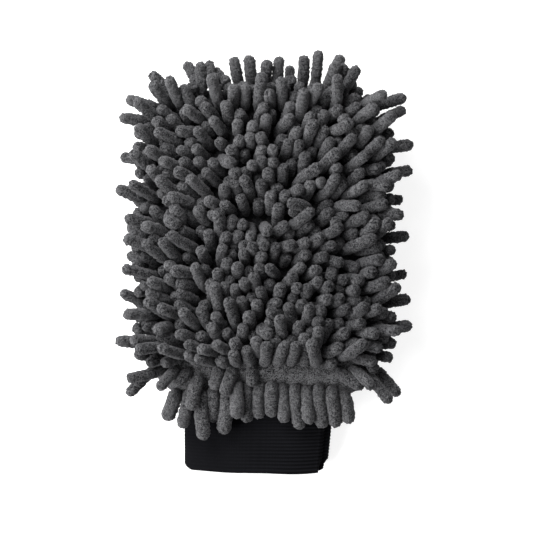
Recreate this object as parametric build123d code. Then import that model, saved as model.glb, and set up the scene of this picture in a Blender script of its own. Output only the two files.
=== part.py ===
from build123d import *
import os

import numpy as np

# A double-sided chenille wash mitt, lying on its back on a flat surface, in millimetres.
# +X is across the mitt, +Y runs from the cuff to the fingertip end, +Z is up, out of the front.
# Two domed ground cloths, the panels, are sewn edge to edge and turned. Rows of soft chenille
# fingers stand on both. A lining hangs inside, and an elastic cuff closes the wrist.
# The origin is the centre of the bounding box's bottom face.

# ---- the shell, which is the two panels together ----
HALF_WIDTH = 77.0
TIP_Y = 113.0
CORNER_RADIUS = 36.0
HALF_THICKNESS = 12.0
SEAM_Z = 28.5
PANEL_WALL = 2.0

# ---- the neck, where the shell is gathered down to the wrist ----
NECK_START_Y = -50.0
WRIST_Y = -86.0
WRIST_HALF_WIDTH = 51.0
WRIST_HALF_THICKNESS = 10.6
WRIST_Z = 17.0

# ---- the seam allowance inside the shell, and the overlock round it ----
ALLOWANCE_WIDTH = 6.0
ALLOWANCE_PLY = 1.2
OVERLOCK_RADIUS = 0.5
THREAD_GAP = 0.2

# ---- the lining bag ----
LINING_SIDE_INSET = 10.5
LINING_FACE_GAP = 0.8
LINING_WALL = 0.7
LINING_THREAD_RADIUS = 0.35
LINING_MOUTH_Y = -76.0

# ---- the cuff, a tube of elastic knit that slopes down to the surface ----
HINGE_Y = -90.0
HINGE_Z = WRIST_Z
CUFF_LENGTH = 45.8
CUFF_HALF_WIDTH = 47.8
CUFF_HALF_THICKNESS = 7.8
CUFF_WALL = 2.0
CUFF_LIP_RADIUS = 0.8
CUFF_SLOPE = 11.5
CUFF_SEAM_ANGLE = 50.0
CUFF_SEAM_RADIUS = 0.5

# ---- the chenille fingers ----
ROW_PITCH = 8.25
FINGER_PITCH = 8.4
FINGER_LENGTH = 23.0
FINGER_RADIUS = 3.3
PRESSED_LENGTH = 20.0
PRESSED_RADIUS = 3.0
ROOT_DEPTH = 1.2
FIRST_FRONT_Y = -68.0
FIRST_BACK_Y = -52.0
SEAM_MARGIN = 3.6
ROOT_JITTER = 0.35
SETTLE_GAP = 0.3
SETTLE_STEPS = 420
FLOOR_SCATTER = 1.2

# ---- the fringe row, whose fingers hang over the cuff and lift with it ----
FRINGE_Y = -86.6
FRINGE_PITCH = 7.6
FRINGE_COUNT = 15
FRINGE_CLEARANCE = 1.9
FRINGE_TILT = 11.0

# Where the front's fingers part or gather: centre x and y, reach, and push (negative gathers).
FRONT_TUFTS = (
    (-52.0, 16.0, 26.0, 0.55),
    (-42.0, 98.0, 18.0, 0.35),
    (3.0, 72.0, 34.0, -0.15),
    (-14.0, 30.0, 20.0, 0.35),
    (36.0, 12.0, 24.0, 0.35),
    (40.0, -18.0, 20.0, -0.12),
    (-26.0, -12.0, 24.0, -0.12),
    (-4.0, -62.0, 30.0, 0.35),
)
# The pressed back parts along the middle, and its fingers lean away from the wrist.
BACK_LEAN = (0.10, 0.60)
SIDE_SPREAD = 0.75
SIDE_LIFT = 0.25
SEED = 11


def smooth(t):
    """0 to 1, with a level start and end."""
    t = np.clip(t, 0.0, 1.0)
    return t * t * (3.0 - 2.0 * t)


def neck_share(y):
    """0 on the body of the mitt, 1 at the wrist."""
    return smooth((NECK_START_Y - np.asarray(y, float)) / (NECK_START_Y - WRIST_Y))


def quarter(radius, depth):
    """The height of a quarter circle of that radius, depth in from its end."""
    inside = radius - np.clip(depth, 0.0, radius)
    return np.sqrt(np.maximum(radius**2 - inside**2, 0.0))


def half_height(y, inset=0.0):
    """Half the shell's thickness at y, less an inset."""
    cap = quarter(HALF_THICKNESS - inset, TIP_Y - inset - y)
    return cap - neck_share(y) * (HALF_THICKNESS - WRIST_HALF_THICKNESS)


def half_width(y, inset=0.0):
    """Half the shell's width at y, less an inset: round corners at both ends."""
    corner = HALF_WIDTH - CORNER_RADIUS + quarter(CORNER_RADIUS - inset, TIP_Y - inset - y)
    down = np.clip((NECK_START_Y - y) / (NECK_START_Y - WRIST_Y + 0.5), 0.0, 1.0)
    narrowed = (HALF_WIDTH - WRIST_HALF_WIDTH) * (1.0 - np.sqrt(1.0 - down**2))
    return corner - narrowed


def middle_z(y):
    """The height of the side seam at y. The neck sags towards the surface."""
    return SEAM_Z + neck_share(y) * (WRIST_Z - SEAM_Z)


def stadium(y, half_w, half_h, z):
    """A flat-topped round-ended section across the mitt."""
    plane = Plane(origin=(0, y, z), x_dir=(1, 0, 0), z_dir=(0, 1, 0))
    return plane * SlotOverall(2 * half_w, 2 * half_h)


def shell_loft(inset, height_inset, start_y):
    """The solid inside the shell's outline, drawn in by an inset at its edge and its faces."""
    neck = [start_y, WRIST_Y + 3, WRIST_Y + 9, WRIST_Y + 18, WRIST_Y + 28]
    end = TIP_Y - inset
    body = [NECK_START_Y]
    tip = [end - d for d in (CORNER_RADIUS, 24.0, 15.0, 9.0, 4.5, 1.8, 0.4)]
    sections = []
    for y in sorted({y for y in neck + body + tip if y >= start_y}):
        at = max(y, WRIST_Y)
        high = min(half_height(at, height_inset), half_height(at, inset) + inset - height_inset)
        sections.append(stadium(y, half_width(at, inset), high, float(middle_z(at))))
    return loft(sections, ruled=True)


def side_of_seam(front):
    """Everything in front of the side seam's surface, or everything behind it."""
    ys = np.linspace(WRIST_Y - 12, NECK_START_Y, 14)
    seam = [(float(y), float(middle_z(y))) for y in ys] + [(TIP_Y + 20, SEAM_Z)]
    far = SEAM_Z + 80 if front else SEAM_Z - 80
    outline = Polyline(*seam, (TIP_Y + 20, far), (float(ys[0]), far), close=True)
    face = Plane.YZ.offset(-HALF_WIDTH - 20) * make_face(outline)
    return extrude(face, amount=2 * (HALF_WIDTH + 20), dir=(1, 0, 0))


def edge_path(inset):
    """The U along both sides and round the tip, drawn in from the shell's edge, at the seam."""
    x, top = HALF_WIDTH - inset, TIP_Y - inset
    radius = CORNER_RADIUS - inset
    points = [(-x, NECK_START_Y, SEAM_Z), (-x, top, SEAM_Z), (x, top, SEAM_Z), (x, NECK_START_Y, SEAM_Z)]
    return FilletPolyline(*points, radius=radius)


def tube(path, radius):
    """A round thread along a path."""
    start = Plane(origin=path @ 0, z_dir=path % 0)
    return sweep(start * Circle(radius), path=path)


def allowance(front):
    """One ply of the seam allowance, a flat strip inside the shell's edge."""
    inner, outer = PANEL_WALL + ALLOWANCE_WIDTH, PANEL_WALL / 2
    strip = offset_outline(outer) - offset_outline(inner)
    ply = extrude(Plane.XY.offset(SEAM_Z) * strip, amount=ALLOWANCE_PLY if front else -ALLOWANCE_PLY)
    return ply


def offset_outline(inset):
    """The shell's plan outline above the neck, drawn in by an inset."""
    x, top = HALF_WIDTH - inset, TIP_Y - inset
    block = Pos(0, (NECK_START_Y + top) / 2) * Rectangle(2 * x, top - NECK_START_Y)
    corners = block.vertices().filter_by(lambda v: v.Y > 0)
    return fillet(corners, CORNER_RADIUS - inset)


def panels():
    """The front and back ground cloths, each a dome with its seam allowance."""
    shell = shell_loft(0.0, 0.0, WRIST_Y) - shell_loft(PANEL_WALL, PANEL_WALL, WRIST_Y - 4)
    return {
        "front_panel": (shell & side_of_seam(True)) + allowance(True),
        "back_panel": (shell & side_of_seam(False)) + allowance(False),
    }


def linings():
    """The two lining sheets, a bag that hangs inside the shell."""
    face_inset = PANEL_WALL + LINING_FACE_GAP
    outer = shell_loft(LINING_SIDE_INSET, face_inset, LINING_MOUTH_Y)
    inner = shell_loft(LINING_SIDE_INSET + LINING_WALL, face_inset + LINING_WALL, LINING_MOUTH_Y - 4)
    bag = outer - inner
    return {"lining_front": bag & side_of_seam(True), "lining_back": bag & side_of_seam(False)}


def shell_threads():
    """The overlock round the shell's allowance, the lining's seam thread and the wrist seam's."""
    overlock = PANEL_WALL + ALLOWANCE_WIDTH + OVERLOCK_RADIUS + THREAD_GAP
    lining = LINING_SIDE_INSET - LINING_THREAD_RADIUS - THREAD_GAP
    wrist_h = WRIST_HALF_THICKNESS - PANEL_WALL / 2
    wrist_w = float(half_width(WRIST_Y)) - PANEL_WALL / 2
    ring = stadium(WRIST_Y - OVERLOCK_RADIUS - THREAD_GAP, wrist_w, wrist_h, WRIST_Z).wire()
    return {
        "shell_seam_thread": tube(edge_path(overlock), OVERLOCK_RADIUS),
        "lining_seam_thread": tube(edge_path(lining), LINING_THREAD_RADIUS),
        "wrist_seam_thread": tube(ring, OVERLOCK_RADIUS),
    }


def cuff():
    """The elastic cuff and the stitches that close it into a tube."""
    plane = Plane.XZ
    outer = extrude(plane * SlotOverall(2 * CUFF_HALF_WIDTH, 2 * CUFF_HALF_THICKNESS), CUFF_LENGTH)
    hollow = SlotOverall(2 * (CUFF_HALF_WIDTH - CUFF_WALL), 2 * (CUFF_HALF_THICKNESS - CUFF_WALL))
    band = outer - extrude(plane * hollow, CUFF_LENGTH)
    lip = band.edges().filter_by(lambda e: abs(e.center().Y + CUFF_LENGTH) < 0.01)
    band = fillet(lip, CUFF_LIP_RADIUS)
    angle = np.radians(CUFF_SEAM_ANGLE)
    reach = CUFF_HALF_THICKNESS + CUFF_SEAM_RADIUS + THREAD_GAP / 2
    x = CUFF_HALF_WIDTH - CUFF_HALF_THICKNESS + reach * np.cos(angle)
    seam_length = CUFF_LENGTH - 2 * CUFF_LIP_RADIUS - 1
    stitch = Pos(x, -CUFF_LENGTH / 2, reach * np.sin(angle)) * Rot(90, 0, 0) * Cylinder(
        CUFF_SEAM_RADIUS, seam_length
    )
    lay = Pos(0, HINGE_Y, HINGE_Z) * Rot(CUFF_SLOPE, 0, 0)
    return {"cuff_band": lay * band, "cuff_seam_thread": lay * stitch}


def surface(y, along, front):
    """A point of the shell, along millimetres round the section at y from its middle."""
    high, wide, z = half_height(y), half_width(y), middle_z(y)
    flat = wide - high
    bend = np.clip((np.abs(along) - flat) / np.maximum(high, 0.1), 0.0, np.pi / 2)
    x = np.sign(along) * (np.minimum(np.abs(along), flat) + high * np.sin(bend))
    rise = high * np.cos(bend)
    return np.stack([x, y + 0 * x, z + np.where(front, rise, -rise)], axis=-1)


def outward(y, along, front):
    """The shell's outward normal there."""
    step = 0.05
    down = np.where(y > TIP_Y - HALF_THICKNESS, -1.0, 1.0)
    a = surface(y, along + step, front) - surface(y, along - step, front)
    b = (surface(y + down * step, along, front) - surface(y, along, front)) * down[:, None]
    normal = np.cross(a, b) * np.where(front, 1.0, -1.0)[:, None]
    return normal / np.linalg.norm(normal, axis=1)[:, None]


def row_places(first):
    """The y of each row: even along the shell's middle, and over the round of its tip."""
    cap = TIP_Y - HALF_THICKNESS
    last = cap - first + HALF_THICKNESS * np.pi / 2 - SEAM_MARGIN
    run = np.arange(0.0, last, ROW_PITCH)
    run = run * (last / run[-1])
    over = np.clip((run - (cap - first)) / HALF_THICKNESS, 0.0, None)
    return np.where(over > 0, cap + HALF_THICKNESS * np.sin(over), first + run)


def lay_out():
    """Every finger's root, outward normal, row and side, before it leans."""
    rng = np.random.default_rng(SEED)
    ys, alongs, rows, fronts = [], [], [], []
    for front in (True, False):
        for row, y in enumerate(row_places(FIRST_FRONT_Y if front else FIRST_BACK_Y)):
            half = float(half_width(y) + half_height(y) * (np.pi / 2 - 1)) - SEAM_MARGIN
            count = int(2 * half / FINGER_PITCH) + 1 - (row % 2)
            spots = (np.arange(count) - (count - 1) / 2) * (2 * half / count)
            ys.append(np.full(count, y))
            alongs.append(spots)
            rows.append(np.full(count, row))
            fronts.append(np.full(count, front))
    y, along, row, front = (np.concatenate(part) for part in (ys, alongs, rows, fronts))
    y = np.where(y < TIP_Y - HALF_THICKNESS, y + rng.uniform(-ROOT_JITTER, ROOT_JITTER, len(y)), y)
    along = along + rng.uniform(-ROOT_JITTER, ROOT_JITTER, len(y))
    return surface(y, along, front), outward(y, along, front), row, front


def wanted(root, normal, front):
    """The way each finger would like to point: out of the cloth, and with its neighbours."""
    lean = np.zeros_like(root)
    side = root[:, 0] / HALF_WIDTH
    lean[:, 0] = SIDE_SPREAD * side * np.abs(side)
    lean[:, 1] = SIDE_LIFT * np.abs(side)
    for x, y, reach, push in FRONT_TUFTS:
        away = root[:, :2] - (x, y)
        far = np.linalg.norm(away, axis=1)[:, None] + 1e-6
        lean[:, :2] += push * away / far * np.exp(-((far / reach) ** 2)) * 1.6
    pressed = np.stack([BACK_LEAN[0] * np.sign(side), np.full_like(side, BACK_LEAN[1])], axis=1)
    lean[:, :2] = np.where(front[:, None], lean[:, :2], pressed * np.abs(normal[:, 2:3]))
    return unit(normal + lean)


def unit(v):
    """Rows scaled to length one."""
    return v / np.linalg.norm(v, axis=1)[:, None]


def nearest(p, u, q, v):
    """Where each pair of segments p + s u, q + t v comes closest: s, t and the gap's vector."""
    w = p - q
    a, b, c = (u * u).sum(1), (u * v).sum(1), (v * v).sum(1)
    d, e = (u * w).sum(1), (v * w).sum(1)
    s = np.clip((b * e - c * d) / np.maximum(a * c - b * b, 1e-9), 0.0, 1.0)
    t = np.clip((b * s + e) / c, 0.0, 1.0)
    s = np.clip((b * t - d) / a, 0.0, 1.0)
    return s, t, w + s[:, None] * u - t[:, None] * v


def settle(root, normal, front, length, radius, fixed):
    """Leans the fingers until none is in another, in the shell or under the surface."""
    aim = wanted(root, normal, front)
    floor = radius + np.random.default_rng(SEED + 1).uniform(0, FLOOR_SCATTER, len(root))
    lean = aim.copy()
    lean[fixed] = fringe_direction()
    close = np.linalg.norm(root[:, None] - root[None], axis=2) < 2 * FINGER_LENGTH
    i, j = np.nonzero(np.triu(close, 1))
    need = radius[i] + radius[j] + SETTLE_GAP
    sweep = FINGER_RADIUS + radius + SETTLE_GAP
    for step in range(SETTLE_STEPS):
        u = lean * length[:, None]
        s, t, gap = nearest(root[i], u[i], root[j], u[j])
        far = np.linalg.norm(gap, axis=1)
        short = np.maximum(need - far, 0.0)
        push = gap / np.maximum(far, 1e-6)[:, None] * (short * 0.5)[:, None]
        move = np.zeros_like(root)
        np.add.at(move, i, push * s[:, None])
        np.add.at(move, j, -push * t[:, None])
        tip = u + 0.9 * move
        if step < SETTLE_STEPS * 0.6:
            tip += 0.02 * length[:, None] * (aim - lean)
        inward = np.minimum((tip * normal).sum(1) - 0.22 * length, 0.0)
        tip -= inward[:, None] * normal
        lean = unit(tip)
        deepest = (floor - root[:, 2]) / length
        low = lean[:, 2] < deepest
        flat = np.sqrt(1 - np.clip(deepest, -1, 1) ** 2) / np.linalg.norm(lean[:, :2], axis=1)
        lean[low, :2] *= flat[low, None]
        lean[low, 2] = deepest[low]
        lean[:, 1] = np.maximum(lean[:, 1], (FRINGE_Y + sweep - root[:, 1]) / length)
        lean = unit(lean)
        lean[fixed] = fringe_direction()
    gaps = far - radius[i] - radius[j]
    print("fingers", len(root), "smallest gap", round(float(gaps.min()), 3))
    return lean


def fringe_root_z():
    """The height of the fringe fingers' roots, which just clear the front panel."""
    top = middle_z(WRIST_Y) + half_height(WRIST_Y)
    return float(top) + FINGER_RADIUS + FRINGE_CLEARANCE


def fringe_direction():
    """The fringe points out over the cuff, a little down."""
    tilt = np.radians(FRINGE_TILT)
    return np.array([0.0, -np.cos(tilt), -np.sin(tilt)])


def fringe_roots():
    """The roots of the fringe row, in line along its own lifting axis."""
    x = (np.arange(FRINGE_COUNT) - (FRINGE_COUNT - 1) / 2) * FRINGE_PITCH
    return np.stack([x, np.full_like(x, FRINGE_Y), np.full_like(x, fringe_root_z())], axis=1)


def finger(length, radius):
    """One chenille finger along +Z: its two round ends are centred length apart."""
    side = Line((radius, 0), (radius, length))
    cap = CenterArc((0, length), radius, 0, 90)
    axis = Line((0, length + radius), (0, -radius))
    base = CenterArc((0, 0), radius, -90, 90)
    outline = Plane.XZ * make_face([side, cap, axis, base])
    return revolve(outline, Axis.Z)


def fingers():
    """All rows of fingers, each row a group of separate solids."""
    root, normal, row, front = lay_out()
    radius = np.where(front, FINGER_RADIUS, PRESSED_RADIUS)
    root = root + normal * (radius - ROOT_DEPTH)[:, None]
    fringe = fringe_roots()
    count = len(root)
    root = np.concatenate([root, fringe])
    normal = np.concatenate([normal, np.tile([0.0, 0.0, 1.0], (len(fringe), 1))])
    front = np.concatenate([front, np.ones(len(fringe), bool)])
    length = np.where(front, FINGER_LENGTH - 2 * FINGER_RADIUS, PRESSED_LENGTH - 2 * PRESSED_RADIUS)
    radius = np.where(front, FINGER_RADIUS, PRESSED_RADIUS)
    lean = settle(root, normal, front, length, radius, np.arange(count, len(root)))
    shapes = {
        True: finger(FINGER_LENGTH - 2 * FINGER_RADIUS, FINGER_RADIUS),
        False: finger(PRESSED_LENGTH - 2 * PRESSED_RADIUS, PRESSED_RADIUS),
    }
    placed = [
        Plane(origin=tuple(map(float, p)), z_dir=tuple(map(float, d))) * shapes[bool(f)]
        for p, d, f in zip(root, lean, front)
    ]
    groups = {"fringe_over_cuff": placed[count:]}
    for index in range(count):
        name = f"{'front' if front[index] else 'back'}_chenille_row_{row[index] + 1:02d}"
        groups.setdefault(name, []).append(placed[index])
    return groups


def main():
    """Builds every sub-part, centres the whole on its bounding box's bottom and writes it."""
    os.makedirs("parts", exist_ok=True)
    nodes = {**panels(), **linings(), **shell_threads(), **cuff()}
    nodes = {name: shape.solids() for name, shape in nodes.items()}
    nodes.update({name: [s for shape in group for s in shape.solids()] for name, group in fingers().items()})
    box = Compound([solid for solids in nodes.values() for solid in solids]).bounding_box()
    shift = Pos(-box.center().X, -box.center().Y, -box.min.Z)
    move = np.array(tuple(shift.position))
    print("size", [round(v, 2) for v in tuple(box.size)], "shift", move.round(3).tolist())
    print("wrist_fold", (move + (0, HINGE_Y, HINGE_Z)).round(4).tolist())
    print("fringe_lift", (move + (0, FRINGE_Y, fringe_root_z())).round(4).tolist())
    for name, solids in nodes.items():
        export_step(shift * Compound(solids), f"parts/{name}.step")
    print("nodes", len(nodes))


main()
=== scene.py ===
import logging
import math
from dataclasses import dataclass, field
from enum import Enum

import bpy
import numpy as np
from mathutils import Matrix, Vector
from mathutils.bvhtree import BVHTree
from mathutils.kdtree import KDTree


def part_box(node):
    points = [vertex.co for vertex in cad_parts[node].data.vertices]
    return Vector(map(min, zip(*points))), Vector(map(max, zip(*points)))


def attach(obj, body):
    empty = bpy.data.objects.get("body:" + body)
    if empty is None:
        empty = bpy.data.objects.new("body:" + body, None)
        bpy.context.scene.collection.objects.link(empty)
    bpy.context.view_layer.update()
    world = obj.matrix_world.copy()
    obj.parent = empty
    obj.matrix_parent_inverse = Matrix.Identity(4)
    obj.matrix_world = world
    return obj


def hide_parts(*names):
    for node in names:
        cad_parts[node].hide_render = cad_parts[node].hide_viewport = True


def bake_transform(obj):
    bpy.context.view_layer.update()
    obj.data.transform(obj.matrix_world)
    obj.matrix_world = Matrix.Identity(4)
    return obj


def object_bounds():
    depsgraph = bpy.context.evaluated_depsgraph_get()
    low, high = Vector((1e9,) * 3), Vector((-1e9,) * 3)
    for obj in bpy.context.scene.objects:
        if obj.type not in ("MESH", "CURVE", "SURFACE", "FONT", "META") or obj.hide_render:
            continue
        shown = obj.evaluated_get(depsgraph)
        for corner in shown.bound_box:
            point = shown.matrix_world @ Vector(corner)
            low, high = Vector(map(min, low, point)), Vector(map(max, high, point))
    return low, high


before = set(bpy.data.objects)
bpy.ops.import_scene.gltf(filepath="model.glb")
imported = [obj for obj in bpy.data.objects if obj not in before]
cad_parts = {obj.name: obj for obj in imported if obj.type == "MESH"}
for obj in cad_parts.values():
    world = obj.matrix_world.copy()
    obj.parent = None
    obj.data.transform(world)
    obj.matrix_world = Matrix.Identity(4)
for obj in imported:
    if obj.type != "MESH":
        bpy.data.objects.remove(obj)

CAD_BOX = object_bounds()
Array = np.ndarray
Material = bpy.types.Material
NodeTree = bpy.types.NodeTree
Piece = bpy.types.Object
LOG = logging.getLogger("wash_mitt")
MM = 0.001
SEED = 2406
CORNER_STEP = 1e-7  # corners closer than this are one corner
CORNER_KEY = (1, 4000037, 607133211137)  # turns a corner's three coordinates into one number of its own


class Side(Enum):
    """Which face of the mitt a piece belongs to."""

    FRONT = 1.0
    BACK = -1.0


# ---------------------------------------------------------------- shader and geometry wiring


class Wire:
    """One value's socket in a node tree, on which Python's arithmetic adds Math nodes."""

    def __init__(self, tree: "Loom", socket: bpy.types.NodeSocket) -> None:
        """Keeps the tree it belongs to and the socket."""
        self.tree = tree
        self.socket = socket

    def _math(self, operation: str, *values: "Wire | float") -> "Wire":
        """Adds a Math node with this operation on these values."""
        return self.tree.add("ShaderNodeMath", {"operation": operation}, dict(enumerate(values)))

    def __add__(self, other: "Wire | float") -> "Wire":
        """self + other"""
        return self._math("ADD", self, other)

    def __sub__(self, other: "Wire | float") -> "Wire":
        """self - other"""
        return self._math("SUBTRACT", self, other)

    def __rsub__(self, other: float) -> "Wire":
        """other - self"""
        return self._math("SUBTRACT", other, self)

    def __mul__(self, other: "Wire | float") -> "Wire":
        """self * other"""
        return self._math("MULTIPLY", self, other)

    def __pow__(self, power: float) -> "Wire":
        """self raised to a power"""
        return self._math("POWER", self, power)

    __radd__ = __add__
    __rmul__ = __mul__

    def wave(self) -> "Wire":
        """The sine of this value."""
        return self._math("SINE", self)

    def clipped(self) -> "Wire":
        """This value kept between 0 and 1."""
        return self.tree.add("ShaderNodeClamp", {}, {"Value": self})


class Loom:
    """Adds and links nodes in one tree, for a material or for geometry."""

    def __init__(self, tree: NodeTree) -> None:
        """Starts on an empty tree."""
        self.tree = tree
        tree.nodes.clear()

    def add(self, kind: str, settings: dict, inputs: dict, output: int | str = 0) -> Wire:
        """Adds a node.

        Args:
            kind: The node's type.
            settings: Its own properties, which are set first.
            inputs: Values or Wires, by a socket's name or number.
            output: The output that the result wraps.

        Returns:
            The wrapped output, or the first one.
        """
        node = self.tree.nodes.new(kind)
        for name, value in settings.items():
            setattr(node, name, value)
        for key, value in inputs.items():
            socket = node.inputs[key]
            if isinstance(value, Wire):
                self.tree.links.new(value.socket, socket)
            else:
                socket.default_value = value
        return Wire(self, node.outputs[output]) if len(node.outputs) else Wire(self, None)

    def ramp(self, value: Wire, stops: list[tuple[float, float]]) -> Wire:
        """A grey ramp.

        Args:
            value: What it reads.
            stops: Each stop's place and its grey.

        Returns:
            The ramp's colour.
        """
        node = self.tree.nodes.new("ShaderNodeValToRGB")
        while len(node.color_ramp.elements) < len(stops):
            node.color_ramp.elements.new(0.5)
        for element, (place, grey) in zip(node.color_ramp.elements, stops):
            element.position = place
            element.color = (grey, grey, grey, 1)
        self.tree.links.new(value.socket, node.inputs["Fac"])
        return Wire(self, node.outputs["Color"])

    @classmethod
    def material(cls, name: str) -> "Loom":
        """Starts a new material of this name."""
        made = bpy.data.materials.new(name)
        made.use_nodes = True
        loom = cls(made.node_tree)
        loom.made = made
        return loom

    def surface(self, values: dict) -> Material:
        """Ends the material with a surface of these values, and gives it back."""
        shader = self.add("ShaderNodeBsdfPrincipled", {}, values)
        self.add("ShaderNodeOutputMaterial", {}, {"Surface": shader})
        return self.made

    def place(self) -> Wire:
        """Where each point of the piece is, in metres."""
        return self.add("ShaderNodeTexCoord", {}, {}, "Object")

    def cloth(self) -> tuple[Wire, Wire]:
        """Where each point is on its cloth, across and along."""
        cloth = self.add("ShaderNodeUVMap", {"uv_map": "cloth"}, {})
        return tuple(self.add("ShaderNodeSeparateXYZ", {}, {"Vector": cloth}, k) for k in (0, 1))

    def noise(self, place: Wire, scale: float, detail: float, distortion: float = 0.0) -> Wire:
        """A noise whose value lies about a half."""
        values = {"Vector": place, "Scale": scale, "Detail": detail, "Distortion": distortion}
        return self.add("ShaderNodeTexNoise", {}, values)

    def bump(self, strength: float, depth: float, height: Wire) -> Wire:
        """The normal of a surface with this height on it."""
        return self.add("ShaderNodeBump", {}, {"Strength": strength, "Distance": depth, "Height": height})

    def tint(self, share: Wire | float, low: tuple, high: tuple) -> Wire:
        """A colour between two others, by share."""
        settings = {"data_type": "RGBA"}
        values = {0: share, 6: (*low, 1), 7: (*high, 1)}
        return self.add("ShaderNodeMix", settings, values, 2)


def geometry_loom(name: str, values: dict[str, float | int]) -> tuple[Loom, dict[str, Wire]]:
    """Starts a geometry tree.

    Args:
        name: The tree's name.
        values: Its number inputs by name, with what they start as.

    Returns:
        The loom on the tree, and its inputs by name, with the geometry as "Geometry".
    """
    tree = bpy.data.node_groups.new(name, "GeometryNodeTree")
    tree.is_modifier = True
    loom = Loom(tree)
    for way in ("INPUT", "OUTPUT"):
        tree.interface.new_socket(name="Geometry", in_out=way, socket_type="NodeSocketGeometry")
    for label, value in values.items():
        kind = "NodeSocketInt" if isinstance(value, int) else "NodeSocketFloat"
        tree.interface.new_socket(name=label, in_out="INPUT", socket_type=kind).default_value = value
    given = tree.nodes.new("NodeGroupInput")
    return loom, {s.name: Wire(loom, s) for s in given.outputs if s.name}


# ---------------------------------------------------------------- finishes


@dataclass(frozen=True)
class ChenilleFinish:
    """Plush microfibre yarn: charcoal, with dark creases between its curled fibres, and painted shade
    darkening each finger towards its root.
    """

    name: str = "chenille_plush"
    crease: tuple[float, float, float] = (0.0015, 0.0015, 0.0020)
    plush: tuple[float, float, float] = (0.067, 0.067, 0.0695)
    curl_scale: float = 1080.0
    fleck_scale: float = 1700.0
    clump_scale: float = 420.0
    drift_scale: float = 24.0
    depth: float = 0.9 * MM
    rib_pitch: float = 1.9 * MM
    # painted shade: how far from a finger's root its colour is darkened
    root_length: float = 15.0 * MM
    sheen: float = 0.12

    def make(self) -> Material:
        """The material."""
        loom = Loom.material(self.name)
        place = loom.place()
        along = loom.add("ShaderNodeAttribute", {"attribute_name": "along"}, {}, "Fac")
        # the per-point tone mark: a finger's own random tone plus painted light and painted shade by place
        shade = loom.add("ShaderNodeAttribute", {"attribute_name": "shade"}, {}, "Fac")
        curls = loom.noise(place, self.curl_scale, 1.0, 1.6)
        flecks = loom.noise(place, self.fleck_scale, 0.0, 0.5)
        clumps = loom.noise(place, self.clump_scale, 1.0)
        drift = loom.noise(place, self.drift_scale, 1.0)
        ribs = (along * (2 * math.pi / self.rib_pitch) + clumps * 9.0).wave() * 0.5 + 0.5
        pile = curls * 0.70 + flecks * 0.18 + ribs * 0.02 + clumps * 0.10
        crease = loom.ramp(pile, [(0.455, 0.0), (0.508, 0.5), (0.562, 1.0)])
        # painted shade: darker towards each finger's root, where its neighbours shade it
        root = (along * (1 / self.root_length)).clipped() ** 0.8
        tone = (crease * 1.00 - 0.07 + drift * 0.16 + shade * 0.12) * (root * 0.88 + 0.12)
        height = curls * 0.68 + flecks * 0.20 + clumps * 0.15 + ribs * 0.04
        surface = {
            "Base Color": loom.tint(tone.clipped(), self.crease, self.plush),
            "Roughness": 0.95,
            "Specular IOR Level": 0.04,
            "Sheen Weight": self.sheen,
            "Sheen Roughness": 0.5,
            "Sheen Tint": (0.75, 0.75, 0.78, 1),
            "Normal": loom.bump(1.0, self.depth, height),
        }
        return loom.surface(surface)


@dataclass(frozen=True)
class ClothFinish:
    """A knitted cloth with a nap: the lining."""

    name: str
    dark: tuple[float, float, float]
    light: tuple[float, float, float]
    stitch: float = 1.1 * MM
    nap: float = 900.0
    patch: float = 60.0

    def make(self) -> Material:
        """The material."""
        loom = Loom.material(self.name)
        place = loom.place()
        u, v = loom.cloth()
        nap = loom.noise(place, self.nap, 2.0)
        patches = loom.noise(place, self.patch, 2.0)
        turns = 2 * math.pi / self.stitch
        loops = (u * turns).wave() * (v * turns + (u * turns * 0.5).wave() * 1.2).wave() * 0.5 + 0.5
        tone = nap * 0.55 + loops * 0.20 + patches * 0.35 - 0.05
        height = nap * 0.6 + loops * 0.4
        surface = {
            "Base Color": loom.tint(tone.clipped(), self.dark, self.light),
            "Roughness": 0.96,
            "Specular IOR Level": 0.1,
            "Sheen Weight": 0.2,
            "Sheen Roughness": 0.5,
            "Normal": loom.bump(0.7, 0.3 * MM, height),
        }
        return loom.surface(surface)


@dataclass(frozen=True)
class RibKnitFinish:
    """The cuff's elastic knit: near black, with fine wales across its ribs."""

    name: str = "cuff_rib_knit"
    dark: tuple[float, float, float] = (0.0001, 0.0001, 0.0002)
    light: tuple[float, float, float] = (0.0056, 0.0057, 0.0070)
    wale: float = 0.9 * MM
    rib: float = 2.25 * MM
    fibre: float = 1400.0
    patch: float = 34.0

    def make(self) -> Material:
        """The material."""
        loom = Loom.material(self.name)
        place = loom.place()
        u, v = loom.cloth()
        fibre = loom.noise(place, self.fibre, 2.0)
        patches = loom.noise(place, self.patch, 2.0)
        wales = (u * (2 * math.pi / self.wale)).wave() * 0.5 + 0.5
        shown = loom.add("ShaderNodeAttribute", {"attribute_name": "rib"}, {}, "Fac")
        ribs = (v * (2 * math.pi / self.rib)).wave() * shown * 0.5 + 0.5
        tone = ribs * 0.40 + wales * ribs * 0.14 + fibre * 0.26 + patches * 0.34 - 0.10
        height = ribs * 0.45 + wales * 0.25 + fibre * 0.30
        surface = {
            "Base Color": loom.tint(tone.clipped(), self.dark, self.light),
            "Roughness": 0.9,
            "Specular IOR Level": 0.03,
            "Sheen Weight": 0.0,
            "Sheen Roughness": 0.4,
            "Normal": loom.bump(0.6, 0.25 * MM, height),
        }
        return loom.surface(surface)


@dataclass(frozen=True)
class ThreadFinish:
    """Twisted sewing thread."""

    name: str = "sewing_thread"
    dark: tuple[float, float, float] = (0.006, 0.006, 0.007)
    light: tuple[float, float, float] = (0.024, 0.024, 0.026)
    ply: float = 2600.0

    def make(self) -> Material:
        """The material."""
        loom = Loom.material(self.name)
        place = loom.place()
        ply = loom.noise(place, self.ply, 2.0)
        surface = {
            "Base Color": loom.tint(ply, self.dark, self.light),
            "Roughness": 0.7,
            "Specular IOR Level": 0.3,
            "Normal": loom.bump(0.5, 0.1 * MM, ply),
        }
        return loom.surface(surface)


# ---------------------------------------------------------------- reading the frame


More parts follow.
